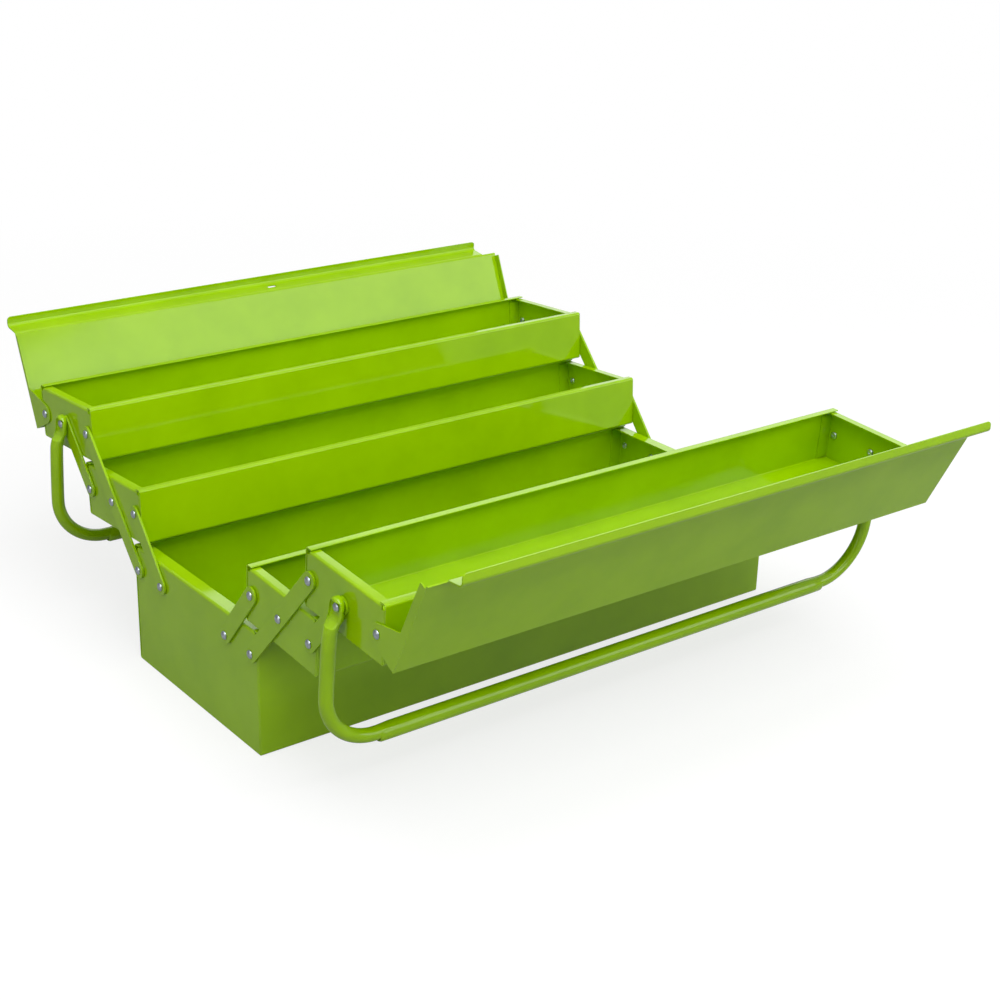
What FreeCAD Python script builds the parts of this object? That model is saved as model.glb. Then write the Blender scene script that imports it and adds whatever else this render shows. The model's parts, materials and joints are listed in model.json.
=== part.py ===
import FreeCAD, Part
import math
import os
import Sketcher

# Cantilever tool box, standing fully open: a folded base box, two folded trays on each side,
# a lid on each upper tray, and flat riveted arms on both ends that carry the trays outward.
# Origin at the centre of the base's underside, +X along the box, +Y to the back, +Z up.

doc = FreeCAD.newDocument("tool_box")
sheet = doc.addObject("Spreadsheet::Sheet", "Sizes")

DRIVING = [
    ("box_long", "528", "length over the end panels"),
    ("base_deep", "200", "outside depth of the base"),
    ("base_high", "105", "height of the base"),
    ("tray_deep", "99.6", "outside depth of one tray"),
    ("tray_high", "46.5", "height of one tray"),
    ("gauge", "1", "sheet thickness"),
    ("bend", "1.2", "inside radius of the sheet's bends"),
    ("rim", "7", "width of the folded top rim"),
    ("end_flange", "8", "width of an end panel's top flange"),
    ("base_flange", "12", "width of the base end's top flange"),
    ("tab", "12", "width of the welded corner tabs"),
    ("rim_gap", "0.8", "gap between the long rims and an end flange"),
    ("relief", "4", "corner relief beside an end flange"),
    ("arm_wide", "14", "width of every flat arm"),
    ("arm_gauge", "2", "thickness of every flat arm"),
    ("arm_gap", "0.3", "running gap beside a flat arm"),
    ("arm_pitch", "62.91", "distance between two pivots on an arm"),
    ("arm_open", "42.42", "lean of the long arms from upright, open"),
    ("tray_droop", "3.63", "tilt of the open trays, outer edge down"),
    ("foot_in", "8.89", "long arm's foot pivot, in from the base wall"),
    ("foot_up", "84.39", "foot pivots above the underside"),
    ("foot_gap", "38.7", "between the two foot pivots"),
    ("lower_in", "0.41", "long arm's pivot on the lower tray, off centre"),
    ("lower_up", "24.35", "pivots of the lower tray above its floor"),
    ("head_gap", "40.36", "between the inner two pivots of the lower tray"),
    ("upper_gap", "41.71", "between the pivots of the upper pair"),
    ("upper_in", "41.97", "long arm's pivot on the upper tray, off centre"),
    ("upper_up", "23.33", "pivots of the upper tray above its floor"),
    ("short_span", "64.07", "pivot distance of the lower short arm"),
    ("shank", "4", "rivet shank diameter"),
    ("head", "7", "rivet head diameter"),
    ("head_high", "1.8", "rivet head height"),
    ("tail", "6.4", "formed tail diameter"),
    ("tail_high", "1.6", "formed tail height"),
    ("tail_bore", "2.6", "recess in the formed tail"),
    ("tail_deep", "1", "depth of that recess"),
    ("fit_gap", "0.05", "radial clearance of a running pivot"),
    ("loose_gap", "0.35", "radial clearance of a floating pivot"),
    ("head_gap_x", "0.2", "end float under a rivet head"),
    ("hinge_in", "42.26", "lid pivot, off the tray's centre"),
    ("hinge_up", "21.73", "lid pivot above the tray's floor"),
    ("back_lean", "23", "lean of the open back lid from upright"),
    ("front_lean", "26", "lean of the open front lid from upright"),
    ("back_handle_lean", "6", "outward lean of the hanging back handle"),
    ("front_handle_lean", "6.3", "inward lean of the hanging front handle"),
    ("lid_rise", "25.4", "lid panel above its pivot, closed"),
    ("lid_back", "10.3", "lid panel beyond its pivot"),
    ("lid_reach", "76", "lid panel from its pivot to the first bend"),
    ("ledge_run", "8", "lid ledge measured along the panel"),
    ("ledge_rise", "13.6", "lid ledge measured away from the panel"),
    ("lip_run", "7.3", "lid lip measured along the panel"),
    ("lip_drop", "4", "lid lip measured back towards the panel"),
    ("lip_bend", "3", "inner radius of the bend between ledge and lip"),
    ("lip_round", "3.5", "corner radius at the lip's ends"),
    ("lip_cut", "16", "ledge and lip stop short of the panel's other end"),
    ("flange_deep", "6", "side flange at the lid's bevelled end"),
    ("short_flange", "2.6", "side flange at the lid's rounded end"),
    ("ear_reach", "27", "lid ear along the panel"),
    ("ear_round", "8.5", "radius round the lid pivot"),
    ("slot_long", "9", "padlock slot length"),
    ("slot_wide", "4.4", "padlock slot width"),
    ("grip_reach", "117", "handle pivot to crossbar"),
    ("rod", "11", "handle rod diameter"),
    ("grip_thick", "13.5", "handle grip diameter"),
    ("grip_drop", "0.6", "grip's outside below the rod's centre"),
    ("rod_bend", "46", "bend radius of the handle rod"),
    ("leg_out", "10.3", "handle leg's centre outside the end panel"),
    ("eye_gauge", "3", "thickness of the flattened handle eye"),
    ("eye_round", "8", "radius of the handle eye"),
    ("eye_long", "8", "length of the flat below the handle pivot"),
    ("leg_start", "24", "where the handle rod is round again"),
]

DERIVED = [
    ("end_x", "=box_long / 2", "outer face of the end panels"),
    ("inner_x", "=end_x - gauge", "inner face of the end panels"),
    ("arm_x", "=end_x + arm_gap", "inner face of the arms"),
    ("ear_out", "=arm_x + gauge", "outer face of the lid ears"),
    ("arm_out", "=arm_x + arm_gauge", "outer face of the arms"),
    ("eye_x", "=arm_out + arm_gap", "inner face of the handle eyes"),
    ("eye_mid", "=eye_x + eye_gauge / 2", "middle of the handle eyes"),
    ("leg_x", "=end_x + leg_out", "centre of the handle legs"),
    ("arm_half", "=arm_wide / 2", "half the arm width"),
    ("shank_r", "=shank / 2", "rivet shank radius"),
    ("head_r", "=head / 2", "rivet head radius"),
    ("tail_r", "=tail / 2", "formed tail radius"),
    ("bore_r", "=tail_bore / 2", "tail recess radius"),
    ("run_r", "=shank_r + fit_gap", "hole of a running pivot"),
    ("loose_r", "=shank_r + loose_gap", "hole of a floating pivot"),
    ("rod_r", "=rod / 2", "rod radius"),
    ("grip_r", "=grip_thick / 2", "grip radius"),
    ("eye_half", "=eye_gauge / 2", "half the eye thickness"),
    ("bend_out", "=bend + gauge", "outside radius of the sheet's bends"),
    ("long_span", "=arm_pitch * 2", "end pivots of the long arm"),
    ("base_half", "=base_deep / 2", "half the base depth"),
    ("tray_half", "=tray_deep / 2", "half a tray's depth"),
    ("a_y", "=base_half - foot_in", "long arm's foot pivot"),
    ("b_y", "=a_y - foot_gap", "short arm's foot pivot"),
    ("c_y", "=a_y + arm_pitch * sin(arm_open)", "long arm on the lower tray"),
    ("c_z", "=foot_up + arm_pitch * cos(arm_open)", "long arm on the lower tray"),
    ("e_y", "=a_y + long_span * sin(arm_open)", "long arm on the upper tray"),
    ("e_z", "=foot_up + long_span * cos(arm_open)", "long arm on the upper tray"),
    ("lower_y", "=c_y + lower_in * cos(tray_droop) - lower_up * sin(tray_droop)", "lower tray"),
    ("lower_z", "=c_z - lower_in * sin(tray_droop) - lower_up * cos(tray_droop)", "lower tray"),
    ("upper_y", "=e_y + upper_in * cos(tray_droop) - upper_up * sin(tray_droop)", "upper tray"),
    ("upper_z", "=e_z - upper_in * sin(tray_droop) - upper_up * cos(tray_droop)", "upper tray"),
    ("d_in", "=lower_in + head_gap", "short arm's head pivot in the tray"),
    ("f_in", "=upper_gap - lower_in", "upper short arm's foot pivot in the tray"),
    ("g_in", "=upper_in - upper_gap", "handle pivot in the upper tray"),
    ("d_y", "=lower_y - d_in * cos(tray_droop) + lower_up * sin(tray_droop)", "short arm head"),
    ("d_z", "=lower_z + d_in * sin(tray_droop) + lower_up * cos(tray_droop)", "short arm head"),
    ("f_y", "=lower_y + f_in * cos(tray_droop) + lower_up * sin(tray_droop)", "upper arm foot"),
    ("f_z", "=lower_z - f_in * sin(tray_droop) + lower_up * cos(tray_droop)", "upper arm foot"),
    ("g_y", "=upper_y - g_in * cos(tray_droop) + upper_up * sin(tray_droop)", "handle pivot"),
    ("g_z", "=upper_z + g_in * sin(tray_droop) + upper_up * cos(tray_droop)", "handle pivot"),
    ("h_y", "=upper_y + hinge_in * cos(tray_droop) + hinge_up * sin(tray_droop)", "lid pivot"),
    ("h_z", "=upper_z - hinge_in * sin(tray_droop) + hinge_up * cos(tray_droop)", "lid pivot"),
    ("long_turn", "=90 - arm_open", "long arm from level"),
    ("short_turn", "=atan((d_z - foot_up) / (d_y - b_y))", "lower short arm from level"),
    ("upper_turn", "=atan((g_z - f_z) / (g_y - f_y))", "upper short arm from level"),
    ("back_turn", "=90 + back_lean", "open back lid from closed"),
    ("front_turn", "=90 + front_lean", "open front lid from closed"),
    ("base_top", "=base_high - gauge - rim_gap", "top of the base ends"),
    ("tray_top", "=tray_high - gauge - rim_gap", "top of the tray ends"),
    ("base_wall", "=base_half - gauge", "inner face of the base walls"),
    ("tray_wall", "=tray_half - gauge", "inner face of the tray walls"),
    ("ledge_y", "=lid_reach + ledge_run", "lid's second bend"),
    ("ledge_z", "=lid_rise + ledge_rise", "lid's second bend"),
    ("lip_y", "=ledge_y + lip_run", "lid's free edge"),
    ("lip_z", "=ledge_z - lip_drop", "lid's free edge"),
    ("lip_long", "=sqrt(lip_run ^ 2 + lip_drop ^ 2)", "width of the lip"),
    ("ledge_turn", "=atan(ledge_rise / ledge_run)", "ledge against the panel"),
    ("ledge_mid_y", "=lid_reach + ledge_run / 2", "middle of the ledge"),
    ("ledge_mid_z", "=lid_rise + ledge_rise / 2", "middle of the ledge"),
    ("slot_x", "=slot_long / 2", "half the padlock slot"),
    ("slot_y", "=slot_wide / 2", "half the padlock slot"),
    ("relief_deep", "=bend_out + gauge", "depth of the corner relief"),
    ("bend_z", "=grip_reach - rod_bend", "top of the handle's bends"),
    ("bend_x", "=leg_x - rod_bend", "inner end of the handle's bends"),
    ("grip_low", "=grip_reach + grip_drop", "handle pivot to the grip's middle"),
    ("plain_head", "=arm_out + head_gap_x", "under the head of an arm rivet"),
    ("hinge_head", "=ear_out + head_gap_x", "under the head of a lid rivet"),
    ("handle_head", "=eye_x + eye_gauge + head_gap_x", "under the head of a handle rivet"),
    ("free_tail", "=inner_x - head_gap_x", "tail of a rivet that turns in its panel"),
]

row = 1
for alias, text, note in DRIVING + DERIVED:
    sheet.set("A%d" % row, note)
    sheet.set("B%d" % row, text)
    sheet.setAlias("B%d" % row, alias)
    row += 1
doc.recompute()


def terms(names):
    """Value and expression of a sum of named sizes such as 'end_x -gauge'."""
    value = 0
    text = ""
    for name in names.split():
        if name == "0":
            continue
        minus = name.startswith("-")
        alias = name.strip("-")
        value += float(sheet.get(alias)) * (-1 if minus else 1)
        text += ("-" if minus else "+" if text else "") + "Sizes." + alias
    return value, text


def flip(names):
    """The same sum with every sign turned."""
    return " ".join(name[1:] if name.startswith("-") else "-" + name for name in names.split())


def signed(names, sign):
    return names if sign > 0 else flip(names)


def plane(body, role):
    return [item for item in body.Origin.OriginFeatures if item.Role == role][0]


def new_body(name, across="0", up="0", turn="0", yaw="0"):
    """A body whose place follows the sheet: yaw turns it to the front of the box."""
    body = doc.addObject("PartDesign::Body", name)
    body.Label = name
    spots = [terms(item)[1] or "0" for item in (across, up, turn)]
    body.setExpression("Placement", "placement(vector(0; %s; %s); rotation(%s; 0; %s))"
                       % (spots[0], spots[1], yaw, spots[2]))
    return body


def new_sketch(body, name, role, lift="0"):
    sketch = body.newObject("Sketcher::SketchObject", name)
    sketch.AttachmentSupport = [(plane(body, role), "")]
    sketch.MapMode = "FlatFace"
    if terms(lift)[1]:
        sketch.setExpression("AttachmentOffset.Base.z", terms(lift)[1])
    return sketch


def pin(sketch, geometry, point, across, up):
    """Hold one sketch point at named distances from the sketch's origin."""
    for kind, names in (("DistanceX", across), ("DistanceY", up)):
        value, text = terms(names)
        index = sketch.addConstraint(Sketcher.Constraint(kind, -1, 1, geometry, point, value))
        if text:
            sketch.setExpression("Constraints[%d]" % index, text)


def size(sketch, kind, names, *where):
    value, text = terms(names)
    index = sketch.addConstraint(Sketcher.Constraint(kind, *where, value))
    sketch.setExpression("Constraints[%d]" % index, text)


def vector(point):
    return FreeCAD.Vector(point[0], point[1], 0)


def line(sketch, start, end):
    return sketch.addGeometry(Part.LineSegment(vector(start), vector(end)), False)


def polygon(body, name, role, points, lift="0"):
    """Closed outline through named points."""
    sketch = new_sketch(body, name, role, lift)
    spots = [(terms(point[0])[0], terms(point[1])[0]) for point in points]
    count = len(spots)
    sides = [line(sketch, spots[n], spots[(n + 1) % count]) for n in range(count)]
    for n in sides:
        sketch.addConstraint(Sketcher.Constraint("Coincident", n, 2, (n + 1) % count, 1))
    for n in sides:
        pin(sketch, n, 1, *points[n])
    return sketch


def circles(body, name, role, spots, lift="0"):
    """Round outlines, each a named centre and a named radius."""
    sketch = new_sketch(body, name, role, lift)
    for across, up, radius in spots:
        centre = vector((terms(across)[0], terms(up)[0]))
        shape = Part.Circle(centre, FreeCAD.Vector(0, 0, 1), terms(radius)[0])
        index = sketch.addGeometry(shape, False)
        pin(sketch, index, 3, across, up)
        size(sketch, "Radius", radius, index)
    return sketch


def mitre(path, side):
    """Unit offsets of a bent path's corners, to the left (1) or right (-1)."""
    normals = []
    for start, end in zip(path, path[1:]):
        run = (end[0] - start[0], end[1] - start[1])
        reach = math.hypot(*run)
        normals.append((-run[1] / reach * side, run[0] / reach * side))
    offsets = [normals[0]]
    for one, two in zip(normals, normals[1:]):
        scale = 1 + one[0] * two[0] + one[1] * two[1]
        offsets.append(((one[0] + two[0]) / scale, (one[1] + two[1]) / scale))
    offsets.append(normals[-1])
    return offsets


def folded(body, name, role, points, side):
    """Section of bent sheet: the named path is one face, the sheet lies to its side."""
    sketch = new_sketch(body, name, role)
    thick = terms("gauge")[0]
    path = [(terms(point[0])[0], terms(point[1])[0]) for point in points]
    twin = [(p[0] + o[0] * thick, p[1] + o[1] * thick) for p, o in zip(path, mitre(path, side))]
    last = len(path) - 1
    for n in range(last):
        line(sketch, path[n], path[n + 1])
    for n in range(last):
        line(sketch, twin[n], twin[n + 1])
    start = line(sketch, path[0], twin[0])
    finish = line(sketch, path[last], twin[last])
    for n in range(last - 1):
        sketch.addConstraint(Sketcher.Constraint("Coincident", n, 2, n + 1, 1))
        sketch.addConstraint(Sketcher.Constraint("Coincident", last + n, 2, last + n + 1, 1))
    sketch.addConstraint(Sketcher.Constraint("Coincident", start, 1, 0, 1))
    sketch.addConstraint(Sketcher.Constraint("Coincident", start, 2, last, 1))
    sketch.addConstraint(Sketcher.Constraint("Coincident", finish, 1, last - 1, 2))
    sketch.addConstraint(Sketcher.Constraint("Coincident", finish, 2, 2 * last - 1, 2))
    for n in range(last):
        pin(sketch, n, 1, *points[n])
    pin(sketch, last - 1, 2, *points[last])
    for n in range(last):
        sketch.addConstraint(Sketcher.Constraint("Parallel", n, last + n))
        size(sketch, "Distance", "gauge", last + n, 1, n)
    sketch.addConstraint(Sketcher.Constraint("Perpendicular", start, 0))
    sketch.addConstraint(Sketcher.Constraint("Perpendicular", finish, last - 1))
    return sketch, path[1:-1], twin[1:-1]


def pad(body, name, sketch, length, middle=False):
    feature = body.newObject("PartDesign::Pad", name)
    feature.Profile = sketch
    feature.Midplane = middle
    feature.setExpression("Length", terms(length)[1])
    doc.recompute()
    return feature


def cut(body, name, sketch):
    feature = body.newObject("PartDesign::Pocket", name)
    feature.Profile = sketch
    feature.Type = "ThroughAll"
    feature.Midplane = True
    doc.recompute()
    return feature


def round_edges(body, name, wanted, radius):
    """Round the edges whose middle and direction the test accepts."""
    base = body.Tip
    local = base.Shape
    chosen = []
    for number, edge in enumerate(local.Edges, 1):
        ends = [vertex.Point for vertex in edge.Vertexes]
        if len(ends) == 2 and wanted(ends[0], ends[1]):
            chosen.append("Edge%d" % number)
    feature = body.newObject("PartDesign::Fillet", name)
    feature.Base = (base, chosen)
    feature.setExpression("Radius", terms(radius)[1])
    doc.recompute()
    return feature


def same(one, two):
    return math.isclose(one, two, rel_tol=0, abs_tol=terms("fit_gap")[0])


def along_x(spots):
    def wanted(one, two):
        if same(one.x, two.x) or not same(one.y, two.y) or not same(one.z, two.z):
            return False
        return any(same(one.y, spot[0]) and same(one.z, spot[1]) for spot in spots)
    return wanted


def along_y(spots):
    def wanted(one, two):
        if same(one.y, two.y) or not same(one.x, two.x) or not same(one.z, two.z):
            return False
        return any(same(one.x, spot[0]) and same(one.z, spot[1]) for spot in spots)
    return wanted


def along_z(spots):
    def wanted(one, two):
        if same(one.z, two.z) or not same(one.x, two.x) or not same(one.y, two.y):
            return False
        return any(same(one.x, spot[0]) and same(one.y, spot[1]) for spot in spots)
    return wanted


def trough(name, half, high, place):
    """Floor and two long walls of a box, with folded top rims."""
    body = new_body(name, *place)
    points = [(half + " -rim", high), (half, high), (half, "0"),
              ("-" + half, "0"), ("-" + half, high), ("-" + half + " rim", high)]
    section, outer, inner = folded(body, name + "_section", "YZ_Plane", points, -1)
    pad(body, name + "_sheet", section, "box_long", True)
    round_edges(body, name + "_folds_in", along_x(inner), "bend")
    round_edges(body, name + "_folds_out", along_x(outer), "bend_out")
    return body


def end_panel(name, wall, top, flange, pivots, sign, place):
    """End of a box: a plate with a folded top flange and welded corner tabs."""
    body = new_body(name, *place)
    face = signed("end_x", sign)
    points = [(face, "gauge"), (face, top), (signed("end_x -" + flange, sign), top)]
    section, outer, inner = folded(body, name + "_section", "XZ_Plane", points, sign)
    pad(body, name + "_plate", section, wall + " " + wall, True)
    for side in (1, -1):
        x_one, x_two = signed("inner_x", sign), signed("inner_x -tab", sign)
        y_one, y_two = signed(wall, side), signed(wall + " -gauge", side)
        outline = [(x_one, y_one), (x_two, y_one), (x_two, y_two), (x_one, y_two)]
        sketch = polygon(body, "%s_tab_%d" % (name, side + 1), "XY_Plane", outline, "bend_out")
        pad(body, "%s_fold_%d" % (name, side + 1), sketch, top + " -bend_out -relief_deep")
    round_edges(body, name + "_round", along_y(outer), "bend_out")
    for side in (1, -1):
        y_one, y_two = signed(wall, side), signed(wall + " -relief", side)
        x_two = signed("end_x -" + flange, sign)
        outline = [(face, y_one), (x_two, y_one), (x_two, y_two), (face, y_two)]
        sketch = polygon(body, "%s_corner_%d" % (name, side + 1), "XY_Plane", outline, top)
        feature = body.newObject("PartDesign::Pocket", "%s_relief_%d" % (name, side + 1))
        feature.Profile = sketch
        feature.setExpression("Length", "Sizes.relief_deep")
        doc.recompute()
    x_face, y_side = terms(face)[0], terms(wall)[0]
    round_edges(body, name + "_corners", along_z([(x_face, y_side), (x_face, -y_side)]), "bend_out")
    for side in (1, -1):
        y_one, y_two = signed(wall, side), signed(wall + " -bend", side)
        outline = [(y_one, "gauge"), (y_one, "bend_out"), (y_two, "gauge")]
        sketch = polygon(body, "%s_foot_%d" % (name, side + 1), "YZ_Plane", outline)
        cut(body, "%s_clear_%d" % (name, side + 1), sketch)
    holes = circles(body, name + "_pivots", "YZ_Plane", pivots)
    cut(body, name + "_holes", holes)
    return body


def arm(name, span, holes, sign, place):
    """Flat arm with round ends, its first pivot at the origin."""
    body = new_body(name, *place)
    lift = "arm_x" if sign > 0 else "-arm_out"
    sketch = new_sketch(body, name + "_outline", "YZ_Plane", lift)
    reach = terms(span)[0]
    half = terms("arm_half")[0]
    up = FreeCAD.Vector(0, 0, 1)
    quarter = math.pi / 2
    near = sketch.addGeometry(Part.ArcOfCircle(Part.Circle(vector((0, 0)), up, half),
                                               quarter, 3 * quarter), False)
    far = sketch.addGeometry(Part.ArcOfCircle(Part.Circle(vector((reach, 0)), up, half),
                                              -quarter, quarter), False)
    above = line(sketch, (0, half), (reach, half))
    below = line(sketch, (0, -half), (reach, -half))
    sketch.addConstraint(Sketcher.Constraint("Tangent", near, 1, above, 1))
    sketch.addConstraint(Sketcher.Constraint("Tangent", near, 2, below, 1))
    sketch.addConstraint(Sketcher.Constraint("Tangent", far, 2, above, 2))
    sketch.addConstraint(Sketcher.Constraint("Tangent", far, 1, below, 2))
    pin(sketch, near, 3, "0", "0")
    pin(sketch, far, 3, span, "0")
    size(sketch, "Radius", "arm_half", near)
    sketch.addConstraint(Sketcher.Constraint("Equal", near, far))
    for across, radius in holes:
        shape = Part.Circle(vector((terms(across)[0], 0)), up, terms(radius)[0])
        index = sketch.addGeometry(shape, False)
        pin(sketch, index, 3, across, "0")
        size(sketch, "Radius", radius, index)
    pad(body, name + "_plate", sketch, "arm_gauge")
    return body


def lid(name, place):
    """Lid: a panel that ends in a ledge and a lip, with side flanges and ears."""
    body = new_body(name, *place)
    points = [("lid_back", "lid_rise"), ("-lid_reach", "lid_rise"),
              ("-ledge_y", "ledge_z"), ("-lip_y", "lip_z")]
    section, near, far = folded(body, name + "_section", "YZ_Plane", points, -1)
    pad(body, name + "_sheet", section, "ear_out ear_out", True)
    round_edges(body, name + "_ledge_in", along_x([far[0]]), "bend_out")
    round_edges(body, name + "_ledge_out", along_x([near[0]]), "bend_out gauge")
    round_edges(body, name + "_lip_in", along_x([near[1]]), "lip_bend")
    round_edges(body, name + "_lip_out", along_x([far[1]]), "lip_bend gauge")
    for sign in (1, -1):
        lift = "arm_x" if sign > 0 else "-ear_out"
        tip = "-lid_reach bend_out gauge"
        edge = "lid_rise -flange_deep" if sign > 0 else "lid_rise -short_flange"
        strip = [("lid_back", edge), ("lid_back", "lid_rise"), (tip, "lid_rise"), (tip, edge)]
        sketch = polygon(body, "%s_strip_%d" % (name, sign + 1), "YZ_Plane", strip, lift)
        pad(body, "%s_flange_%d" % (name, sign + 1), sketch, "gauge")
        ear_pad(body, "%s_ear_%d" % (name, sign + 1), lift)
    holes = circles(body, name + "_pivots", "YZ_Plane", [("0", "0", "run_r")])
    cut(body, name + "_holes", holes)
    slot_corners = [("slot_x", "slot_y"), ("-slot_x", "slot_y"),
                    ("-slot_x", "-slot_y"), ("slot_x", "-slot_y")]
    slot = polygon(body, name + "_slot", "XY_Plane", slot_corners)
    slot.setExpression("AttachmentOffset",
                       "placement(vector(0; -Sizes.ledge_mid_y; Sizes.ledge_mid_z); "
                       "rotation(0; 0; -Sizes.ledge_turn))")
    feature = body.newObject("PartDesign::Pocket", name + "_padlock_slot")
    feature.Profile = slot
    feature.Midplane = True
    feature.setExpression("Length", "Sizes.rim")
    doc.recompute()
    short = polygon(body, name + "_short_end", "XY_Plane",
                    [("ear_out", "-lid_reach"), ("ear_out", "-lip_y -rim"),
                     ("ear_out -lip_cut", "-lip_y -rim"), ("ear_out -lip_cut", "-lid_reach")])
    feature = body.newObject("PartDesign::Pocket", name + "_lip_end")
    feature.Profile = short
    feature.Midplane = True
    feature.setExpression("Length", "Sizes.ledge_z * 4")
    doc.recompute()
    half = terms("ear_out")[0]
    stop = terms("ear_out -lip_cut")[0]
    edge = (terms("-lip_y")[0], terms("lip_z")[0])

    def lip_corner(one, two):
        if not same(one.x, two.x) or not (same(one.x, -half) or same(one.x, stop)):
            return False
        return abs(math.dist((one.y, one.z), (two.y, two.z)) - terms("gauge")[0]) < terms("gauge")[0] / 9 \
            and min(math.dist((p.y, p.z), edge) for p in (one, two)) < terms("fit_gap")[0]

    round_edges(body, name + "_lip_round", lip_corner, "lip_round")
    return body


def ear_pad(body, name, lift):
    """Rounded triangle that hangs from the side flange and carries the lid pivot."""
    sketch = new_sketch(body, name + "_outline", "YZ_Plane", lift)
    radius = terms("ear_round")[0]
    up = FreeCAD.Vector(0, 0, 1)
    high = terms("lid_rise")[0]
    back = (terms("lid_back")[0], high)
    front = (-terms("ear_reach")[0], high)
    angles = []
    for spot, turn in ((back, -1), (front, 1)):
        reach = math.hypot(*spot)
        angles.append(math.atan2(spot[1], spot[0]) + turn * math.acos(radius / reach))
    ends = [(radius * math.cos(angle), radius * math.sin(angle)) for angle in angles]
    curve = Part.ArcOfCircle(Part.Circle(vector((0, 0)), up, radius), angles[1], angles[0])
    arc = sketch.addGeometry(curve, False)
    right = line(sketch, ends[0], back)
    left = line(sketch, ends[1], front)
    top = line(sketch, back, front)
    sketch.addConstraint(Sketcher.Constraint("Tangent", arc, 2, right, 1))
    sketch.addConstraint(Sketcher.Constraint("Tangent", arc, 1, left, 1))
    sketch.addConstraint(Sketcher.Constraint("Coincident", right, 2, top, 1))
    sketch.addConstraint(Sketcher.Constraint("Coincident", left, 2, top, 2))
    pin(sketch, arc, 3, "0", "0")
    pin(sketch, top, 1, "lid_back", "lid_rise")
    pin(sketch, top, 2, "-ear_reach", "lid_rise")
    size(sketch, "Radius", "ear_round", arc)
    return pad(body, name, sketch, "gauge")


def handle(name, place):
    """Bail handle: a bent rod with flattened eyes, its pivot line at the origin."""
    body = new_body(name, *place)
    spine = new_sketch(body, name + "_spine", "XZ_Plane")
    x_leg, x_bend = terms("leg_x")[0], terms("bend_x")[0]
    z_top, z_bend, z_low = terms("-leg_start")[0], terms("-bend_z")[0], terms("-grip_reach")[0]
    radius = terms("rod_bend")[0]
    up = FreeCAD.Vector(0, 0, 1)
    quarter = math.pi / 2
    left = line(spine, (-x_leg, z_top), (-x_leg, z_bend))
    turn_left = spine.addGeometry(Part.ArcOfCircle(
        Part.Circle(vector((-x_bend, z_bend)), up, radius), 2 * quarter, 3 * quarter), False)
    bar = line(spine, (-x_bend, z_low), (x_bend, z_low))
    turn_right = spine.addGeometry(Part.ArcOfCircle(
        Part.Circle(vector((x_bend, z_bend)), up, radius), -quarter, 0), False)
    right = line(spine, (x_leg, z_bend), (x_leg, z_top))
    spine.addConstraint(Sketcher.Constraint("Tangent", left, 2, turn_left, 1))
    spine.addConstraint(Sketcher.Constraint("Tangent", turn_left, 2, bar, 1))
    spine.addConstraint(Sketcher.Constraint("Tangent", bar, 2, turn_right, 1))
    spine.addConstraint(Sketcher.Constraint("Tangent", turn_right, 2, right, 1))
    pin(spine, left, 1, "-leg_x", "-leg_start")
    pin(spine, right, 2, "leg_x", "-leg_start")
    pin(spine, turn_left, 3, "-bend_x", "-bend_z")
    pin(spine, turn_right, 3, "bend_x", "-bend_z")
    size(spine, "Radius", "rod_bend", turn_left)
    size(spine, "Radius", "rod_bend", turn_right)
    ring = circles(body, name + "_ring", "XY_Plane", [("-leg_x", "0", "rod_r")], "-leg_start")
    doc.recompute()
    rod = body.newObject("PartDesign::AdditivePipe", name + "_rod")
    rod.Profile = ring
    rod.Spine = spine
    doc.recompute()
    for sign in (1, -1):
        tag = "%s_%d" % (name, sign + 1)
        lift = "eye_x" if sign > 0 else "-eye_x -eye_gauge"
        disc = circles(body, tag + "_disc", "YZ_Plane", [("0", "0", "eye_round")], lift)
        pad(body, tag + "_eye", disc, "eye_gauge")
        strap = polygon(body, tag + "_strap", "YZ_Plane",
                        [("eye_round", "0"), ("-eye_round", "0"),
                         ("-eye_round", "-eye_long"), ("eye_round", "-eye_long")], lift)
        pad(body, tag + "_flat", strap, "eye_gauge")
        flat = new_sketch(body, tag + "_flat_end", "XY_Plane", "-eye_long")
        centre = terms(signed("eye_mid", sign))[0]
        flat.addGeometry(Part.Ellipse(vector((centre, terms("eye_round")[0])),
                                      vector((centre + terms("eye_half")[0], 0)),
                                      vector((centre, 0))), False)
        flat.exposeInternalGeometry(0)
        pin(flat, 0, 3, signed("eye_mid", sign), "0")
        flat.addConstraint(Sketcher.Constraint("Vertical", 1))
        size(flat, "Distance", "eye_round eye_round", 1)
        size(flat, "Distance", "eye_gauge", 2)
        round_end = circles(body, tag + "_round_end", "XY_Plane",
                            [(signed("leg_x", sign), "0", "rod_r")], "-leg_start")
        doc.recompute()
        blend = body.newObject("PartDesign::AdditiveLoft", tag + "_blend")
        blend.Profile = flat
        blend.Sections = [round_end]
        doc.recompute()
    holes = circles(body, name + "_pivots", "YZ_Plane", [("0", "0", "run_r")])
    cut(body, name + "_holes", holes)
    return body


def grip(name, place):
    """Sleeve pressed on the straight part of the handle rod."""
    body = new_body(name, *place)
    ring = circles(body, name + "_rings", "YZ_Plane",
                   [("0", "-grip_low", "grip_r"), ("0", "-grip_reach", "rod_r")])
    pad(body, name + "_sleeve", ring, "bend_x bend_x", True)
    return body


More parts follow.
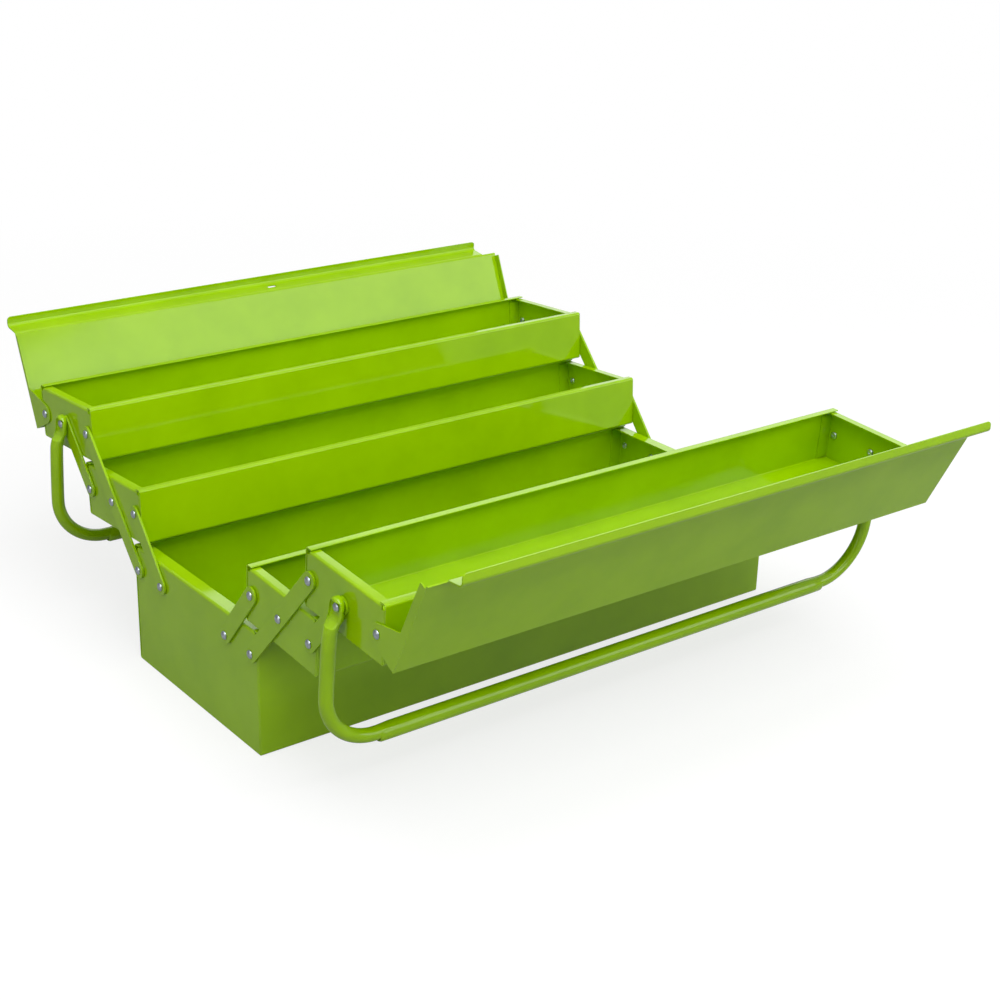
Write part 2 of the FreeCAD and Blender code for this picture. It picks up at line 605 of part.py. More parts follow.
def rivet(name, under_head, tail):
    """Domed rivet with a hollow formed tail, turned about the box's long axis."""
    body = new_body(name)
    sketch = new_sketch(body, name + "_profile", "XY_Plane")
    corners = [(tail + " -tail_high tail_deep", "0"), (tail + " -tail_high tail_deep", "bore_r"),
               (tail + " -tail_high", "bore_r"), (tail + " -tail_high", "tail_r"),
               (tail, "tail_r"), (tail, "shank_r"), (under_head, "shank_r"),
               (under_head, "head_r"), (under_head + " head_high", "0")]
    spots = [(terms(corner[0])[0], terms(corner[1])[0]) for corner in corners]
    for n in range(7):
        line(sketch, spots[n], spots[n + 1])
    radius = (terms("head_r")[0] ** 2 + terms("head_high")[0] ** 2) / terms("head_high")[0] / 2
    middle = spots[8][0] - radius
    lean = math.asin(terms("head_r")[0] / radius)
    dome = sketch.addGeometry(Part.ArcOfCircle(
        Part.Circle(vector((middle, 0)), FreeCAD.Vector(0, 0, 1), radius), 0, lean), False)
    axis = line(sketch, spots[8], spots[0])
    for n in range(6):
        sketch.addConstraint(Sketcher.Constraint("Coincident", n, 2, n + 1, 1))
    sketch.addConstraint(Sketcher.Constraint("Coincident", 6, 2, dome, 2))
    sketch.addConstraint(Sketcher.Constraint("Coincident", dome, 1, axis, 1))
    sketch.addConstraint(Sketcher.Constraint("Coincident", axis, 2, 0, 1))
    sketch.addConstraint(Sketcher.Constraint("PointOnObject", dome, 3, -1))
    for n in range(7):
        pin(sketch, n, 1, *corners[n])
    pin(sketch, 6, 2, *corners[7])
    pin(sketch, axis, 1, *corners[8])
    turned = body.newObject("PartDesign::Revolution", name + "_turned")
    turned.Profile = sketch
    turned.ReferenceAxis = (sketch, ["H_Axis"])
    doc.recompute()
    return body


def rivets(name, spots, place):
    """One node of alike rivets at both ends of the box."""
    links = []
    for number, (master, across, up) in enumerate(spots):
        for yaw in ("0", "180"):
            link = doc.addObject("App::Link", "%s_%d_%s" % (name, number, yaw))
            link.LinkedObject = master
            link.setExpression("Placement", "placement(vector(0; %s; %s); rotation(%s; 0; 0))"
                               % (terms(across)[1] or "0", terms(up)[1] or "0", yaw))
            links.append(link)
    node = doc.addObject("Part::Compound", name)
    node.Label = name
    node.Links = links
    spots = [terms(item)[1] or "0" for item in place[:3]]
    node.setExpression("Placement", "placement(vector(0; %s; %s); rotation(%s; 0; %s))"
                       % (spots[0], spots[1], place[3], spots[2]))
    doc.recompute()
    return node


still = ("0", "0", "0", "0")
arm_rivet = rivet("arm_rivet", "plain_head", "inner_x")
lid_rivet = rivet("lid_rivet", "hinge_head", "inner_x")
handle_rivet = rivet("handle_rivet", "handle_head", "free_tail")

nodes = [trough("base_trough", "base_half", "base_high", still)]
base_pivots = [(signed(name, sign), "foot_up", "run_r") for name in ("a_y", "b_y") for sign in (1, -1)]
for side, sign in (("left", -1), ("right", 1)):
    nodes.append(end_panel("base_end_" + side, "base_wall", "base_top", "base_flange",
                           base_pivots, sign, still))
base_spots = [(arm_rivet, across, up) for across, up, radius in base_pivots]
nodes.append(rivets("base_rivets", base_spots, still))

for group, yaw in (("back", "0"), ("front", "180")):
    way = 1 if group == "back" else -1
    lower = (signed("lower_y", way), "lower_z", "-tray_droop", yaw)
    upper = (signed("upper_y", way), "upper_z", "-tray_droop", yaw)
    lower_pivots = [("-lower_in", "lower_up", "run_r"), ("-d_in", "lower_up", "run_r"),
                    ("f_in", "lower_up", "run_r")]
    upper_pivots = [("-upper_in", "upper_up", "run_r"), ("-g_in", "upper_up", "run_r"),
                    ("hinge_in", "hinge_up", "run_r")]
    nodes.append(trough(group + "_lower_trough", "tray_half", "tray_high", lower))
    nodes.append(trough(group + "_upper_trough", "tray_half", "tray_high", upper))
    for side, sign in (("left", -way), ("right", way)):
        nodes.append(end_panel("%s_lower_end_%s" % (group, side), "tray_wall", "tray_top",
                               "end_flange", lower_pivots, sign, lower))
        nodes.append(end_panel("%s_upper_end_%s" % (group, side), "tray_wall", "tray_top",
                               "end_flange", upper_pivots, sign, upper))
        nodes.append(arm("%s_long_arm_%s" % (group, side), "long_span",
                         [("0", "run_r"), ("arm_pitch", "run_r"), ("long_span", "run_r")], sign,
                         (signed("a_y", way), "foot_up", "long_turn", yaw)))
        nodes.append(arm("%s_lower_arm_%s" % (group, side), "short_span",
                         [("0", "run_r"), ("short_span", "loose_r")], sign,
                         (signed("b_y", way), "foot_up", "short_turn", yaw)))
        nodes.append(arm("%s_upper_arm_%s" % (group, side), "arm_pitch",
                         [("0", "run_r"), ("arm_pitch", "loose_r")], sign,
                         (signed("f_y", way), "f_z", "upper_turn", yaw)))
    nodes.append(rivets(group + "_lower_rivets",
                        [(arm_rivet, across, up) for across, up, radius in lower_pivots], lower))
    nodes.append(rivets(group + "_upper_rivets",
                        [(arm_rivet, "-upper_in", "upper_up"), (lid_rivet, "hinge_in", "hinge_up")],
                        upper))
    pivot = (signed("g_y", way), "g_z", "0", yaw)
    nodes.append(rivets(group + "_handle_rivets", [(handle_rivet, "0", "0")], pivot))
    nodes.append(lid(group + "_lid", (signed("h_y", way), "h_z", "-%s_turn" % group, yaw)))
    hang = (pivot[0], pivot[1], "back_handle_lean" if group == "back" else "-front_handle_lean", yaw)
    nodes.append(handle(group + "_handle", hang))
    nodes.append(grip(group + "_grip", hang))

doc.recompute()
for item in doc.Objects:
    if "Invalid" in item.State or "Error" in item.State:
        raise RuntimeError("not built: " + item.Name)
    shape = getattr(item, "Shape", None)
    if shape is not None and item in nodes and (shape.isNull() or not shape.isValid()):
        raise RuntimeError("bad shape: " + item.Name)

os.makedirs("parts", exist_ok=True)
for item in nodes:
    item.Shape.exportStep("parts/%s.step" % item.Label)
    print(item.Label, round(item.Shape.Volume), len(item.Shape.Solids))
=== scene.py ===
import json
import math
import bpy
from mathutils import Matrix, Vector


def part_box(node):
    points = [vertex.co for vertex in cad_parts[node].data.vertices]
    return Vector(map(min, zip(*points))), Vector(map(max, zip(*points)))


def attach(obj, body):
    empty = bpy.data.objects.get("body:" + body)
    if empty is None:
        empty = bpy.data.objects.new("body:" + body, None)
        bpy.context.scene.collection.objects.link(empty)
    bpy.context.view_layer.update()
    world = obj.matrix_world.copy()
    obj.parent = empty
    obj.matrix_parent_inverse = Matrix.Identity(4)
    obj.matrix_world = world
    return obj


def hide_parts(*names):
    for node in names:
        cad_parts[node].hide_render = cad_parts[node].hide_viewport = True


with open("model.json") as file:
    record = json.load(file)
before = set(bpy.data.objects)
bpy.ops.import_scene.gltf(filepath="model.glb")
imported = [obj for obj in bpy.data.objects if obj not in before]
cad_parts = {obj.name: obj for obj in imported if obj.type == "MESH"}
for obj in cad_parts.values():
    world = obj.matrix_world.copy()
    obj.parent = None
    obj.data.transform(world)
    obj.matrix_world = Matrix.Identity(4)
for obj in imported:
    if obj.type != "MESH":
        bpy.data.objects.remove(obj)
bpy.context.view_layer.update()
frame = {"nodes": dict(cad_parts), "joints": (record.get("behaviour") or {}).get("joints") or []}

mm = 0.001
joinDistance = 0.005 * mm
joints = {joint["name"]: joint for joint in frame["joints"]}


# helpers for all the pieces

def linear(hexColour):
    parts = [int(hexColour[n:n + 2], 16) / 255 for n in (1, 3, 5)]
    return tuple(c / 12.92 if c <= 0.04045 else ((c + 0.055) / 1.055) ** 2.4 for c in parts) + (1,)


def addNode(tree, kind, settings, links):
    node = tree.nodes.new(kind)
    for name, value in settings.items():
        if isinstance(name, int) or name in node.inputs:
            node.inputs[name].default_value = value
        else:
            setattr(node, name, value)
    for name, source in links.items():
        tree.links.new(source, node.inputs[name])
    return node


def mathNode(tree, operation, one, two):
    return addNode(tree, "ShaderNodeMath", {"operation": operation}, {0: one, 1: two}).outputs[0]


def tintRamp(tree, source, stops):
    # the first two stops are the ramp's own ends, the others lie between them
    tint = addNode(tree, "ShaderNodeValToRGB", {}, {"Fac": source})
    for element, (position, colour) in zip(tint.color_ramp.elements[:], stops[:2]):
        element.position = position
        element.color = linear(colour)
    for position, colour in stops[2:]:
        tint.color_ramp.elements.new(position).color = linear(colour)
    return tint


def newFinish(name):
    finish = bpy.data.materials.new(name)
    finish.use_nodes = True
    finish.node_tree.nodes.clear()
    return finish, finish.node_tree


def startMesh():
    if bpy.context.object and bpy.context.object.mode == "EDIT":
        bpy.ops.object.mode_set(mode="OBJECT")
    bpy.ops.object.select_all(action="DESELECT")


def growRing(move, spread, centre):
    bpy.ops.mesh.extrude_region_move(TRANSFORM_OT_translate={"value": move})
    bpy.ops.transform.resize(value=spread, center_override=centre)


def pickVertices(wanted):
    # back to object mode so that the choice is written into the mesh
    bpy.ops.mesh.select_mode(type="VERT")
    bpy.ops.mesh.select_all(action="DESELECT")
    bpy.ops.object.mode_set(mode="OBJECT")
    mesh = bpy.context.object.data
    for vertex in mesh.vertices:
        vertex.select = wanted(vertex.co)
    bpy.ops.object.mode_set(mode="EDIT")


def pickFaces(wanted):
    bpy.ops.mesh.select_mode(type="FACE")
    bpy.ops.mesh.select_all(action="DESELECT")
    bpy.ops.object.mode_set(mode="OBJECT")
    mesh = bpy.context.object.data
    for face in mesh.polygons:
        face.select = wanted(face)
    bpy.ops.object.mode_set(mode="EDIT")


def closeMesh(name):
    bpy.ops.mesh.select_all(action="SELECT")
    bpy.ops.mesh.remove_doubles(threshold=joinDistance)
    bpy.ops.mesh.normals_make_consistent(inside=False)
    bpy.ops.object.mode_set(mode="OBJECT")
    piece = bpy.context.object
    piece.name = name
    return piece


def ownCopy(piece, name, matrix):
    twin = piece.copy()
    twin.data = piece.data.copy()
    twin.name = name
    bpy.context.collection.objects.link(twin)
    twin.data.transform(matrix)
    return twin


# finishes

coat = {
    # place on the ramp and colour: deep, pale, and the plain green between them
    "stops": ((0.3, "#8FBB00"), (0.7, "#9AC602"), (0.5, "#95C100")),
    "cloudSize": 55 * mm, "cloudRough": 0.6,
    "rubSize": 18 * mm, "rubLow": 0.3, "rubHigh": 0.7,
    "roughLow": 0.05, "roughHigh": 0.11, "ior": 1.5,
    "peelSize": 1.6 * mm, "peelDepth": 0.0025 * mm,
    "waveSize": 70 * mm, "waveDepth": 0.1 * mm, "waveStretch": (0.6, 1, 1),
}


def powderCoat():
    # lime polyester powder coat, baked on pressed sheet steel: glossy, with a faint orange peel
    # and the slow waves of thin sheet, which bend its reflections
    finish, tree = newFinish("limePowderCoat")
    place = addNode(tree, "ShaderNodeTexCoord", {}, {}).outputs["Object"]
    cloud = addNode(tree, "ShaderNodeTexNoise",
                    {"Scale": 1 / coat["cloudSize"], "Detail": 3, "Roughness": coat["cloudRough"]},
                    {"Vector": place})
    tint = tintRamp(tree, cloud.outputs["Fac"], coat["stops"])
    rub = addNode(tree, "ShaderNodeTexNoise", {"Scale": 1 / coat["rubSize"], "Detail": 4}, {"Vector": place})
    rough = addNode(tree, "ShaderNodeMapRange",
                    {"From Min": coat["rubLow"], "From Max": coat["rubHigh"],
                     "To Min": coat["roughLow"], "To Max": coat["roughHigh"]},
                    {"Value": rub.outputs["Fac"]})
    stretch = addNode(tree, "ShaderNodeMapping", {"Scale": coat["waveStretch"]}, {"Vector": place})
    wave = addNode(tree, "ShaderNodeTexNoise", {"Scale": 1 / coat["waveSize"], "Detail": 1},
                   {"Vector": stretch.outputs["Vector"]})
    waveBump = addNode(tree, "ShaderNodeBump", {"Strength": 1, "Distance": coat["waveDepth"]},
                       {"Height": wave.outputs["Fac"]})
    peel = addNode(tree, "ShaderNodeTexNoise", {"Scale": 1 / coat["peelSize"], "Detail": 2}, {"Vector": place})
    peelBump = addNode(tree, "ShaderNodeBump", {"Strength": 1, "Distance": coat["peelDepth"]},
                       {"Height": peel.outputs["Fac"], "Normal": waveBump.outputs["Normal"]})
    shader = addNode(tree, "ShaderNodeBsdfPrincipled", {"IOR": coat["ior"], "Metallic": 0},
                     {"Base Color": tint.outputs["Color"], "Roughness": rough.outputs["Result"],
                      "Normal": peelBump.outputs["Normal"]})
    addNode(tree, "ShaderNodeOutputMaterial", {}, {"Surface": shader.outputs["BSDF"]})
    return finish


zinc = {
    "stops": ((0.3, "#A9B4C0"), (0.65, "#D3DCE4")), "cloudSize": 2.5 * mm,
    "grainSize": 0.5 * mm, "grainDepth": 0.02 * mm, "grainShare": 0.6,
    "roughLow": 0.22, "roughHigh": 0.36,
}


def zincSteel():
    # zinc-plated mild steel rivets, cold headed: pale blue-white metal with a fine die grain
    finish, tree = newFinish("zincPlatedSteel")
    place = addNode(tree, "ShaderNodeTexCoord", {}, {}).outputs["Object"]
    cloud = addNode(tree, "ShaderNodeTexNoise", {"Scale": 1 / zinc["cloudSize"], "Detail": 3},
                    {"Vector": place})
    tint = tintRamp(tree, cloud.outputs["Fac"], zinc["stops"])
    grain = addNode(tree, "ShaderNodeTexNoise", {"Scale": 1 / zinc["grainSize"], "Detail": 2},
                    {"Vector": place})
    rough = addNode(tree, "ShaderNodeMapRange", {"To Min": zinc["roughLow"], "To Max": zinc["roughHigh"]},
                    {"Value": grain.outputs["Fac"]})
    bump = addNode(tree, "ShaderNodeBump", {"Strength": zinc["grainShare"], "Distance": zinc["grainDepth"]},
                   {"Height": grain.outputs["Fac"]})
    shader = addNode(tree, "ShaderNodeBsdfPrincipled", {"Metallic": 1},
                     {"Base Color": tint.outputs["Color"], "Roughness": rough.outputs["Result"],
                      "Normal": bump.outputs["Normal"]})
    addNode(tree, "ShaderNodeOutputMaterial", {}, {"Surface": shader.outputs["BSDF"]})
    return finish


greenCoat = powderCoat()
rivetSteel = zincSteel()
print("finishes made")


def dress(piece, finish):
    piece.data.materials.clear()
    piece.data.materials.append(finish)


# pressed sheet parts and flat arms, carried over with softened edges

sheetEdge = {"weld": 0.01 * mm, "round": 0.3 * mm, "steps": 2, "angle": 50, "flat": 1, "weight": 80}

for name, node in frame["nodes"].items():
    if "rivets" in name or "handle" in name or "grip" in name:
        continue
    dress(node, greenCoat)
    weld = node.modifiers.new("mergedSheet", "WELD")
    weld.merge_threshold = sheetEdge["weld"]
    flat = node.modifiers.new("plainFaces", "DECIMATE")
    flat.decimate_type = "DISSOLVE"
    flat.angle_limit = math.radians(sheetEdge["flat"])
    bevel = node.modifiers.new("softEdges", "BEVEL")
    bevel.width = sheetEdge["round"]
    bevel.segments = sheetEdge["steps"]
    bevel.limit_method = "ANGLE"
    bevel.angle_limit = math.radians(sheetEdge["angle"])
    shade = node.modifiers.new("flatShading", "WEIGHTED_NORMAL")
    shade.weight = sheetEdge["weight"]
print("sheet parts dressed")


# bail handles

handleRod = {
    "legX": 274.3 * mm, "reach": 117 * mm, "bend": 46 * mm, "bendSteps": 10,
    "radius": 5.5 * mm, "sides": 24,
    "backLean": 6, "frontLean": -6.3,
    # height from the pivot, centre across, half thickness, half width: the tube widens to its eye
    "stations": [(-24, 274.3, 5.5, 5.5), (-18.5, 273.9, 5.35, 5.75), (-14, 272.9, 4.9, 6.3),
                 (-10.5, 271.6, 4.2, 7), (-7.5, 270.5, 3.6, 7.6), (-4, 269.9, 3.25, 7.95),
                 (0, 269.75, 3.15, 8), (3.4, 269.7, 3.1, 7.24), (5.8, 269.7, 3.05, 5.5),
                 (7.3, 269.5, 2.75, 3.3), (7.9, 269.2, 2.1, 1.5)],
    "seatX": 266.65, "punchLow": -15, "punchTop": 6, "punchHalf": 6.7, "floorX": 269.45,
    "rim": 0.5 * mm, "ramp": 8 * mm,
    "eyeLow": -8, "eyeInner": 268.9, "eyeHalf": 6.6, "outerX": 270, "outward": 0.3,
    "merge": 0.01 * mm, "smoothing": 2,
}


def bailHandle():
    # one half from the middle of the crossbar up to the pressed eye, then mirrored
    s = handleRod
    startMesh()
    bpy.ops.mesh.primitive_circle_add(vertices=s["sides"], radius=s["radius"], fill_type="NOTHING",
                                      location=(0, 0, -s["reach"]), rotation=(0, math.pi / 2, 0))
    bpy.ops.object.transform_apply(location=True, rotation=True, scale=True)
    bpy.ops.object.mode_set(mode="EDIT")
    bpy.ops.mesh.select_all(action="SELECT")
    bendX = s["legX"] - s["bend"]
    bpy.ops.mesh.extrude_region_move(TRANSFORM_OT_translate={"value": (bendX, 0, 0)})
    bpy.ops.mesh.spin(steps=s["bendSteps"], angle=math.pi / 2, axis=(0, 1, 0),
                      center=(bendX, 0, s["bend"] - s["reach"]))
    height, across, thick, wide = [v * mm for v in s["stations"][0]]
    bpy.ops.mesh.extrude_region_move(
        TRANSFORM_OT_translate={"value": (0, 0, height - s["bend"] + s["reach"])})
    for station in s["stations"][1:]:
        newHeight, newAcross, newThick, newWide = [v * mm for v in station]
        growRing((newAcross - across, 0, newHeight - height), (newThick / thick, newWide / wide, 1),
                 (newAcross, 0, newHeight))
        height, across, thick, wide = newHeight, newAcross, newThick, newWide
    bpy.ops.mesh.edge_face_add()
    bpy.ops.mesh.select_all(action="SELECT")
    bpy.ops.mesh.normals_make_consistent(inside=False)
    # the eye's inner side lies flat on the arm, and its outer wall is punched in towards it
    pickVertices(lambda co: co.z > s["eyeLow"] * mm and 0 < co.x < s["eyeInner"] * mm
                 and abs(co.y) < s["eyeHalf"] * mm)
    bpy.ops.transform.resize(value=(0, 1, 1), center_override=(s["seatX"] * mm, 0, 0))
    pickFaces(lambda face: face.normal.x > s["outward"] and face.center.x > s["outerX"] * mm
              and abs(face.center.y) < s["punchHalf"] * mm
              and s["punchLow"] * mm < face.center.z < s["punchTop"] * mm)
    bpy.ops.mesh.inset(thickness=s["rim"])
    bpy.ops.mesh.extrude_region_move(TRANSFORM_OT_translate={"value": (-s["rim"], 0, 0)})
    bpy.ops.object.mode_set(mode="OBJECT")
    punched = [v for v in bpy.context.object.data.vertices if v.select]
    lowest = min(v.co.z for v in punched)
    for v in punched:
        ramp = min(1, max(0, (v.co.z - lowest) / s["ramp"]))
        v.co.x += (s["floorX"] * mm - v.co.x) * ramp * ramp * (3 - 2 * ramp)
    bpy.ops.object.mode_set(mode="EDIT")
    half = closeMesh("handleHalf")
    mirror = half.modifiers.new("otherHalf", "MIRROR")
    mirror.merge_threshold = s["merge"]
    bpy.ops.object.modifier_apply(modifier="otherHalf")
    smooth = half.modifiers.new("roundTube", "SUBSURF")
    smooth.levels = smooth.render_levels = s["smoothing"]
    bpy.ops.object.modifier_apply(modifier="roundTube")
    bpy.ops.object.shade_smooth()
    return half


gripSleeve = {
    "radius": 6.75 * mm, "bore": 5.5 * mm, "half": 228.3 * mm, "drop": 0.6 * mm, "sides": 40,
    "slope": 0.7 * mm, "slopeLong": 12 * mm, "stepLong": 1.6 * mm, "stepLift": -0.1 * mm,
    "endRadius": 5.75 * mm, "overlap": 0.1 * mm, "edge": 0.25 * mm, "edgeAngle": 25, "smoothAngle": 40,
}


def sleeve():
    s = gripSleeve
    startMesh()
    bpy.ops.mesh.primitive_cylinder_add(vertices=s["sides"], radius=s["radius"],
                                        depth=2 * (s["half"] - s["slopeLong"]),
                                        end_fill_type="NOTHING", rotation=(0, math.pi / 2, 0),
                                        location=(0, 0, -handleRod["reach"] - s["drop"]))
    bpy.ops.object.transform_apply(location=True, rotation=True, scale=True)
    bpy.ops.object.mode_set(mode="EDIT")
    for side in (1, -1):
        # each end slopes in from above and drops to the rod in a short step below
        pickVertices(lambda co: co.x * side > 0)
        share = 1 - s["slope"] / (2 * s["radius"])
        growRing((side * (s["slopeLong"] - s["stepLong"]), 0, 0), (1, share, share),
                 (0, 0, -handleRod["reach"] - s["drop"] - s["radius"]))
        middle = (0, 0, -handleRod["reach"] + s["stepLift"])
        share = s["endRadius"] / (s["radius"] * share)
        growRing((side * s["stepLong"], 0, 0), (1, share, share), middle)
        share = (s["bore"] - s["overlap"]) / s["endRadius"]
        growRing((0, 0, 0), (1, share, share), (0, 0, -handleRod["reach"]))
    bpy.ops.mesh.select_all(action="DESELECT")
    pickVertices(lambda co: math.hypot(co.y, co.z + handleRod["reach"]) < s["bore"])
    bpy.ops.mesh.select_mode(type="EDGE")
    bpy.ops.mesh.bridge_edge_loops()
    piece = closeMesh("sleeveMaster")
    bevel = piece.modifiers.new("softSteps", "BEVEL")
    bevel.width = s["edge"]
    bevel.segments = 2
    bevel.angle_limit = math.radians(s["edgeAngle"])
    bpy.ops.object.modifier_apply(modifier="softSteps")
    bpy.ops.object.shade_smooth_by_angle(angle=math.radians(s["smoothAngle"]))
    return piece


handleMaster = bailHandle()
sleeveMaster = sleeve()
for group, lean, yaw in (("back", handleRod["backLean"], 0),
                         ("front", handleRod["frontLean"], math.pi)):
    pivot = Vector(joints[group + "_handle_swing"]["pos_m"])
    place = Matrix.Translation(pivot) @ Matrix.Rotation(yaw, 4, "Z")
    place = place @ Matrix.Rotation(math.radians(lean), 4, "X")
    for master, name, node in ((handleMaster, "BailRod", "_handle"), (sleeveMaster, "GripSleeve", "_grip")):
        piece = ownCopy(master, group + name, place)
        dress(piece, greenCoat)
        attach(piece, group + "_handle")
        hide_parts(group + node)
bpy.data.objects.remove(handleMaster)
bpy.data.objects.remove(sleeveMaster)
print("handles made")


# rivets

rivetForm = {
    "sides": 24, "tailDeep": 1.6, "smoothAngle": 50,
    # along the shank from the tail's face, radius: hollow formed tail
    "tail": [(0.9, 0.35), (0.9, 1.1), (0.1, 1.3), (0, 1.6), (0.05, 2.4), (0.4, 3), (1, 3.2), (1.55, 3.15),
             (1.6, 2)],
    # above the seat, radius: domed head with a rounded rim
    "head": [(0, 2), (0, 3.3), (0.15, 3.5), (0.55, 3.42), (1.05, 3), (1.45, 2.2), (1.72, 1.2), (1.8, 0.4)],
    # where each kind's tail and head seat, from the middle of the box
    "arm": (263, 266.5), "lid": (263, 265.5), "handle": (262.8, 269.8),
}


def rivet(kind):
    # turned about the box's long axis at its place on the +X end
    s = rivetForm
    inner, outer = s[kind]
    rings = [(inner - s["tailDeep"] + x, r) for x, r in s["tail"]] + [(outer + x, r) for x, r in s["head"]]
    rings = [(x * mm, r * mm) for x, r in rings]
    startMesh()
    bpy.ops.mesh.primitive_circle_add(vertices=s["sides"], radius=rings[0][1], fill_type="NGON",
                                      location=(rings[0][0], 0, 0), rotation=(0, math.pi / 2, 0))
    bpy.ops.object.transform_apply(location=True, rotation=True, scale=True)
    bpy.ops.object.mode_set(mode="EDIT")
    bpy.ops.mesh.select_mode(type="FACE")
    bpy.ops.mesh.select_all(action="SELECT")
    for (oldX, oldR), (x, r) in zip(rings, rings[1:]):
        growRing((x - oldX, 0, 0), (1, r / oldR, r / oldR), (x, 0, 0))
    piece = closeMesh(kind + "RivetMaster")
    bpy.ops.object.shade_smooth_by_angle(angle=math.radians(s["smoothAngle"]))
    return piece


armEnd = 7 * mm
masters = {kind: rivet(kind) for kind in ("arm", "lid", "handle")}


def spot(name):
    return joints[name]["pos_m"][1:]


def armHead(group, sign):
    # the lower short arm's head pivot, half an arm's width in from the corner of its box
    low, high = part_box(group + "_lower_arm_left")
    return (high.y - armEnd if sign > 0 else low.y + armEnd, high.z - armEnd)


seats = {"base": ("base", [])}
for group, sign in (("back", 1), ("front", -1)):
    seats["base"][1].extend([("arm", spot(group + "_arms")), ("arm", spot(group + "_lower_short"))])
    seats[group + "_lower"] = (group + "_lower_tray", [("arm", spot(group + "_lower_tilt")),
                                                       ("arm", spot(group + "_upper_short")),
                                                       ("arm", armHead(group, sign))])
    seats[group + "_upper"] = (group + "_upper_tray", [("arm", spot(group + "_upper_tilt")),
                                                       ("lid", spot(group + "_lid_hinge"))])
    seats[group + "_handle"] = (group + "_upper_arms", [("handle", spot(group + "_handle_swing"))])

for name, (body, places) in seats.items():
    copies = []
    for kind, (y, z) in places:
        for turn in (0, math.pi):
            matrix = Matrix.Translation((0, y, z)) @ Matrix.Rotation(turn, 4, "Z")
            copies.append(ownCopy(masters[kind], name + "Rivet", matrix))
    startMesh()
    for copy in copies:
        copy.select_set(True)
    bpy.context.view_layer.objects.active = copies[0]
    bpy.ops.object.join()
    copies[0].name = name + "RivetSet"
    dress(copies[0], rivetSteel)
    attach(copies[0], body)
    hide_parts(name + "_rivets")
for master in masters.values():
    bpy.data.objects.remove(master)
print("rivets made")


# camera, floor and lights

camera = {"place": (-857.64 * mm, -1149.2 * mm, 705.02 * mm), "yaw": 0.6617, "pitch": -0.3886,
          "roll": 0.0273, "lens": 64.73, "sensor": 36, "near": 0.05, "far": 200}


def placeCamera():
    yaw, pitch, roll = camera["yaw"], camera["pitch"], camera["roll"]
    ahead = Vector((math.sin(yaw) * math.cos(pitch), math.cos(yaw) * math.cos(pitch), math.sin(pitch)))
    right = Vector((math.cos(yaw), -math.sin(yaw), 0))
    up = right.cross(ahead)
    across = math.cos(roll) * right + math.sin(roll) * up
    above = -math.sin(roll) * right + math.cos(roll) * up
    data = bpy.data.cameras.new("photoCamera")
    data.sensor_fit = "HORIZONTAL"
    data.sensor_width = camera["sensor"]
    data.lens = camera["lens"]
    data.clip_start = camera["near"]
    data.clip_end = camera["far"]
    holder = bpy.data.objects.new("photoCamera", data)
    bpy.context.collection.objects.link(holder)
    matrix = Matrix((across, above, -ahead)).transposed().to_4x4()
    matrix.translation = Vector(camera["place"])
    holder.matrix_world = matrix
    bpy.context.scene.camera = holder


studio = {
    "horizon": 0.12, "zenith": 0.62, "aim": (0, 0, 0.1),
    "floorSize": 60, "floorGrey": 0.32, "floorWhite": 0.76, "near": 0.6, "far": 1.6,
    # how brightly the paint's reflections see the floor, and between which places it changes
    "mirrorLeft": 0.03, "mirrorRight": 0.36, "mirrorFront": 0.12,
    "leftX": -0.35, "rightX": 0, "frontY": -0.3, "backY": -0.2,
}


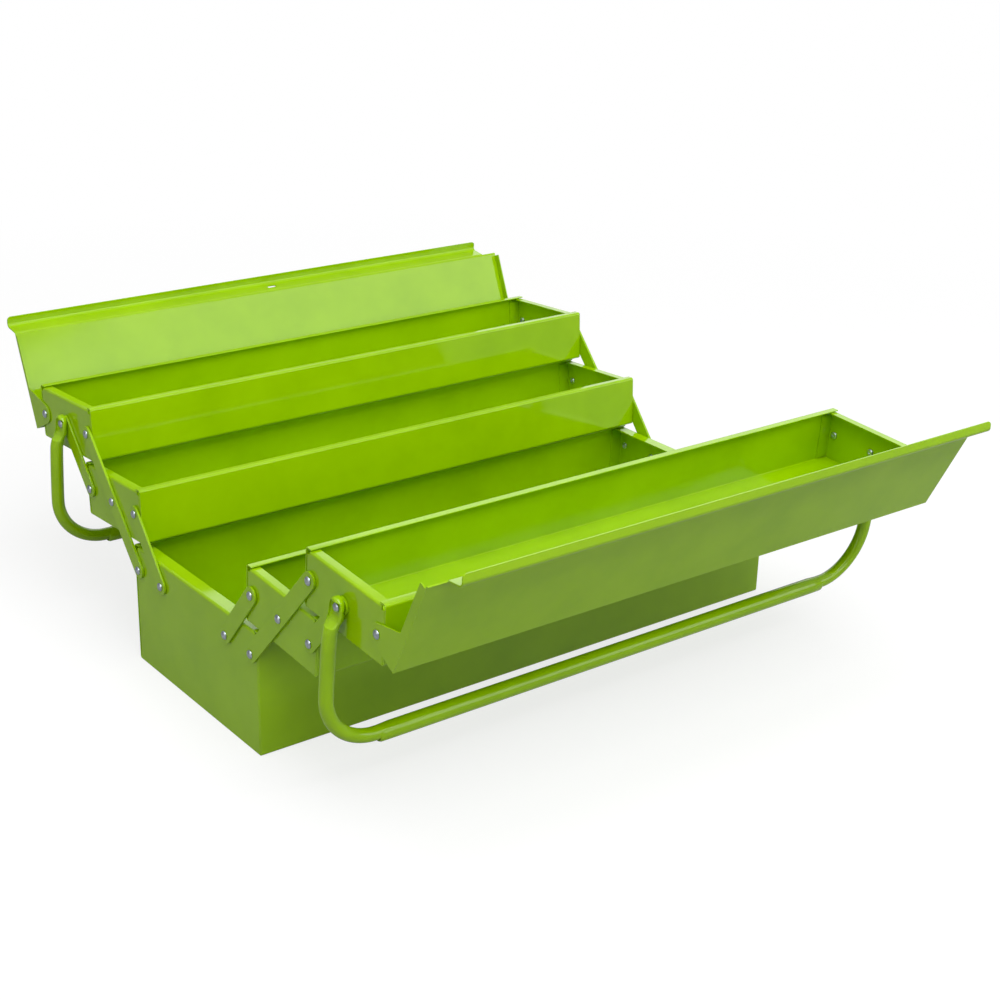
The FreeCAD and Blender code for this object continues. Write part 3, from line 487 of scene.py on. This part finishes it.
def placeFloor():
    # a pale floor: the camera sees it white with the object's soft shadow, other rays see a grey
    # floor, and reflections also see it glow, most to the right and close to the base
    startMesh()
    bpy.ops.mesh.primitive_plane_add(size=studio["floorSize"])
    floor = bpy.context.object
    floor.name = "studioFloor"
    finish, tree = newFinish("paleFloor")
    path = addNode(tree, "ShaderNodeLightPath", {}, {})
    seen = mathNode(tree, "MAXIMUM", path.outputs["Is Camera Ray"], path.outputs["Is Transmission Ray"])
    place = addNode(tree, "ShaderNodeTexCoord", {}, {}).outputs["Object"]
    away = addNode(tree, "ShaderNodeVectorMath", {"operation": "LENGTH"}, {0: place})
    fade = addNode(tree, "ShaderNodeMapRange",
                   {"From Min": studio["near"], "From Max": studio["far"],
                    "To Min": studio["floorWhite"], "To Max": 1}, {"Value": away.outputs["Value"]})
    share = mathNode(tree, "MULTIPLY", seen, fade.outputs["Result"])
    axes = addNode(tree, "ShaderNodeSeparateXYZ", {}, {"Vector": place})
    rightward = addNode(tree, "ShaderNodeMapRange",
                        {"From Min": studio["leftX"], "From Max": studio["rightX"],
                         "To Min": studio["mirrorLeft"], "To Max": studio["mirrorRight"]},
                        {"Value": axes.outputs["X"]})
    backward = addNode(tree, "ShaderNodeMapRange",
                       {"From Min": studio["frontY"], "From Max": studio["backY"],
                        "To Min": studio["mirrorFront"], "To Max": 1}, {"Value": axes.outputs["Y"]})
    mirrored = mathNode(tree, "MULTIPLY", backward.outputs["Result"], rightward.outputs["Result"])
    mirrored = mathNode(tree, "MULTIPLY", path.outputs["Is Glossy Ray"], mirrored)
    share = mathNode(tree, "MAXIMUM", share, mirrored)
    tone = addNode(tree, "ShaderNodeMix",
                   {"data_type": "RGBA", 6: (studio["floorGrey"],) * 3 + (1,), 7: (1, 1, 1, 1)}, {0: seen})
    matt = addNode(tree, "ShaderNodeBsdfDiffuse", {}, {"Color": tone.outputs[2]})
    glow = addNode(tree, "ShaderNodeEmission", {"Color": (1, 1, 1, 1), "Strength": 1}, {})
    both = addNode(tree, "ShaderNodeMixShader", {}, {0: share, 1: matt.outputs[0], 2: glow.outputs[0]})
    addNode(tree, "ShaderNodeOutputMaterial", {}, {"Surface": both.outputs[0]})
    floor.data.materials.append(finish)


lamps = {
    # place, size, power: each aims at the middle of the box
    "topSoftbox": ((-0.3, -1.1, 2.5), (2, 2), 50),
    "frontSoftbox": ((1.3, -2.4, 1.0), (2.6, 1.3), 21.5),
    "leftFill": ((-2.6, -0.7, 1.1), (2.4, 1.8), 14),
    "backSoftbox": ((2.1, 2.7, 1.5), (3, 1.6), 19),
    "stripLight": ((-0.2, -1.9, 1.9), (3.2, 0.07), 9),
}


def placeLamps():
    world = bpy.data.worlds.new("studioAir")
    bpy.context.scene.world = world
    world.use_nodes = True
    sky = world.node_tree.nodes["Background"]
    sky.inputs["Color"].default_value = (1, 1, 1, 1)
    tree = world.node_tree
    look = addNode(tree, "ShaderNodeTexCoord", {}, {}).outputs["Generated"]
    height = addNode(tree, "ShaderNodeSeparateXYZ", {}, {"Vector": look})
    glow = addNode(tree, "ShaderNodeMapRange",
                   {"From Min": 0, "From Max": 1, "To Min": studio["horizon"], "To Max": studio["zenith"]},
                   {"Value": height.outputs["Z"]})
    # the camera sees the air white, as it sees the floor
    path = addNode(tree, "ShaderNodeLightPath", {}, {})
    shown = mathNode(tree, "MAXIMUM", path.outputs["Is Camera Ray"], glow.outputs["Result"])
    tree.links.new(shown, sky.inputs["Strength"])
    for name, (place, size, power) in lamps.items():
        data = bpy.data.lights.new(name, "AREA")
        data.shape = "RECTANGLE"
        data.size, data.size_y = size
        data.energy = power
        lamp = bpy.data.objects.new(name, data)
        lamp.location = place
        lamp.rotation_euler = (Vector(studio["aim"]) - Vector(place)).to_track_quat("-Z", "Y").to_euler()
        bpy.context.collection.objects.link(lamp)


placeCamera()
placeFloor()
placeLamps()
bpy.context.scene.view_settings.view_transform = "Standard"
print("stage set")
